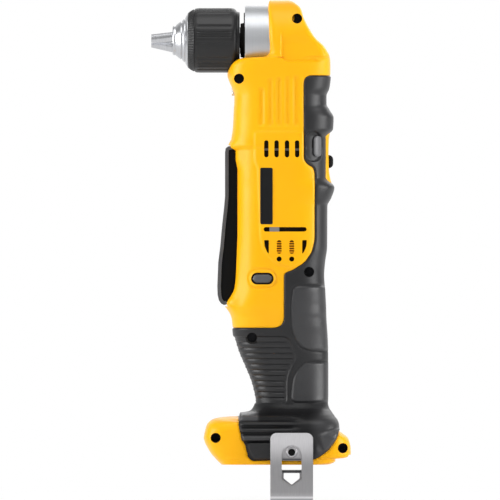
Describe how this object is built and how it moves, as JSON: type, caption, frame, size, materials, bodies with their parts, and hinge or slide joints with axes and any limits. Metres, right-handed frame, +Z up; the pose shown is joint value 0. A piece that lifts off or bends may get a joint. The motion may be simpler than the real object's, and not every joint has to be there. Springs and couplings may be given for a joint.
{
  "type": "right angle drill",
  "caption": "Cordless right angle drill with a keyless chuck on a bevel gear head, paddle trigger, rubber grip, belt hook and battery foot.",
  "frame": {"origin": "on the motor axis, at the underside of the foot where the battery pack slides on", "axes": "+Z up the motor axis to the head, -X the way the chuck points, -Y the side with the belt hook"},
  "size_m": [0.1267, 0.0863, 0.3178],
  "materials": {
    "yellow_plastic": "moulded nylon, lightly textured",
    "black_rubber": "matte overmoulded elastomer",
    "black_plastic": "moulded nylon",
    "cast_aluminium": "die cast, machined",
    "bright_steel": "ground steel",
    "dark_steel": "black oxide steel",
    "zinc_steel": "zinc plated strip",
    "chuck_plastic": "glass filled nylon",
    "bronze": "sintered bronze",
    "brass": "turned brass",
    "ferrite": "sintered ferrite",
    "wire": "insulated copper wire",
    "copper": "copper",
    "lamination": "stacked steel sheet",
    "carbon": "carbon",
    "clear_lens": "clear moulded lens"
  },
  "bodies": {
    "housing": {"housing_left": "yellow_plastic", "housing_right": "yellow_plastic", "grip_left": "black_rubber", "grip_right": "black_rubber", "housing_screws": "dark_steel", "name_plate": "black_plastic", "selector_plate": "yellow_plastic", "gear_case": "cast_aluminium", "gearbox_sleeve": "cast_aluminium", "front_bearing_outer": "bright_steel", "rear_bush": "bronze", "pinion_bush": "bronze", "first_ring_gear": "bright_steel", "motor_can": "bright_steel", "motor_magnets": "ferrite", "motor_end_bell": "black_plastic", "carbon_brushes": "carbon", "motor_bushes": "bronze", "switch_body": "black_plastic", "motor_leads": "wire", "battery_leads": "wire", "terminal_block": "black_plastic", "terminal_blades": "brass", "led_lens": "clear_lens", "belt_hook": "zinc_steel", "belt_hook_screw": "dark_steel", "hook_inserts": "brass", "paddle_pin": "bright_steel", "paddle_spring": "bright_steel"},
    "spindle": {"spindle": "dark_steel", "bevel_gear": "bright_steel", "front_bearing_inner": "bright_steel", "chuck_body": "bright_steel", "chuck_screw": "dark_steel"},
    "bearing_balls": {"front_bearing_balls": "bright_steel"},
    "sleeve": {"chuck_sleeve": "chuck_plastic", "chuck_nut": "brass"},
    "jaw_1": {"chuck_jaw_1": "bright_steel"},
    "jaw_2": {"chuck_jaw_2": "bright_steel"},
    "jaw_3": {"chuck_jaw_3": "bright_steel"},
    "pinion": {"bevel_pinion": "bright_steel", "second_carrier": "bright_steel", "second_planets": "bright_steel", "first_carrier": "bright_steel"},
    "shift_ring": {"shift_ring": "bright_steel"},
    "planet_1": {"first_planet_1": "bright_steel"},
    "planet_2": {"first_planet_2": "bright_steel"},
    "planet_3": {"first_planet_3": "bright_steel"},
    "rotor": {"motor_shaft": "bright_steel", "armature": "lamination", "commutator": "copper", "cooling_fan": "black_plastic", "motor_pinion": "bright_steel"},
    "paddle": {"trigger_paddle": "black_plastic"},
    "plunger": {"switch_plunger": "black_plastic"},
    "button": {"direction_button": "black_plastic"},
    "selector": {"speed_selector": "black_plastic"}
  },
  "joints": [
    {"name": "spindle_spin", "type": "hinge", "parent": "housing", "child": "spindle", "pos_m": [-0.02, 0, 0.269], "axis": [1, 0, 0], "continuous": true},
    {"name": "ball_orbit", "type": "hinge", "parent": "housing", "child": "bearing_balls", "pos_m": [-0.017, 0, 0.269], "axis": [1, 0, 0], "continuous": true},
    {"name": "sleeve_turn", "type": "hinge", "parent": "spindle", "child": "sleeve", "pos_m": [-0.04, 0, 0.269], "axis": [1, 0, 0], "range_deg": [-540, 2160]},
    {"name": "jaw_1_slide", "type": "slide", "parent": "spindle", "child": "jaw_1", "axis": [0.9744, 0, -0.225], "range_m": [-0.0038, 0.0151]},
    {"name": "jaw_2_slide", "type": "slide", "parent": "spindle", "child": "jaw_2", "axis": [0.9744, 0.1948, 0.1125], "range_m": [-0.0038, 0.0151]},
    {"name": "jaw_3_slide", "type": "slide", "parent": "spindle", "child": "jaw_3", "axis": [0.9744, -0.1948, 0.1125], "range_m": [-0.0038, 0.0151]},
    {"name": "pinion_spin", "type": "hinge", "parent": "housing", "child": "pinion", "pos_m": [0, 0, 0.24], "axis": [0, 0, 1], "continuous": true},
    {"name": "ring_shift", "type": "slide", "parent": "pinion", "child": "shift_ring", "axis": [0, 0, 1], "range_m": [0, 0.005]},
    {"name": "planet_1_spin", "type": "hinge", "parent": "pinion", "child": "planet_1", "pos_m": [0.0105, 0, 0.2157], "axis": [0, 0, 1], "continuous": true},
    {"name": "planet_2_spin", "type": "hinge", "parent": "pinion", "child": "planet_2", "pos_m": [-0.00525, 0.00909, 0.2157], "axis": [0, 0, 1], "continuous": true},
    {"name": "planet_3_spin", "type": "hinge", "parent": "pinion", "child": "planet_3", "pos_m": [-0.00525, -0.00909, 0.2157], "axis": [0, 0, 1], "continuous": true},
    {"name": "rotor_spin", "type": "hinge", "parent": "housing", "child": "rotor", "pos_m": [0, 0, 0.17], "axis": [0, 0, 1], "continuous": true},
    {"name": "paddle_press", "type": "hinge", "parent": "housing", "child": "paddle", "pos_m": [-0.0255, 0, 0.197], "axis": [0, -1, 0], "range_deg": [0, 4.5], "stiffness_Nm_per_rad": 3, "springref_deg": -14.32},
    {"name": "plunger_push", "type": "slide", "parent": "housing", "child": "plunger", "axis": [1, 0, 0], "range_m": [0, 0.0073]},
    {"name": "direction_shift", "type": "slide", "parent": "housing", "child": "button", "axis": [0, 1, 0], "range_m": [-0.003, 0.003]},
    {"name": "speed_shift", "type": "slide", "parent": "housing", "child": "selector", "axis": [0, 0, 1], "range_m": [0, 0.005]}
  ],
  "couplings": [
    {"joint": "ball_orbit", "follows": "spindle_spin", "ratio": 0.3964},
    {"joint": "pinion_spin", "follows": "spindle_spin", "ratio": -2},
    {"joint": "rotor_spin", "follows": "spindle_spin", "ratio": -10},
    {"joint": "planet_1_spin", "follows": "spindle_spin", "ratio": 5.3333},
    {"joint": "jaw_1_slide", "follows": "sleeve_turn", "m_per_rad": 0.00039789},
    {"joint": "planet_2_spin", "follows": "spindle_spin", "ratio": 5.3333},
    {"joint": "jaw_2_slide", "follows": "sleeve_turn", "m_per_rad": 0.00039789},
    {"joint": "planet_3_spin", "follows": "spindle_spin", "ratio": 5.3333},
    {"joint": "jaw_3_slide", "follows": "sleeve_turn", "m_per_rad": 0.00039789},
    {"joint": "ring_shift", "follows": "speed_shift", "ratio": 1},
    {"joint": "plunger_push", "follows": "paddle_press", "m_per_rad": 0.0922}
  ]
}
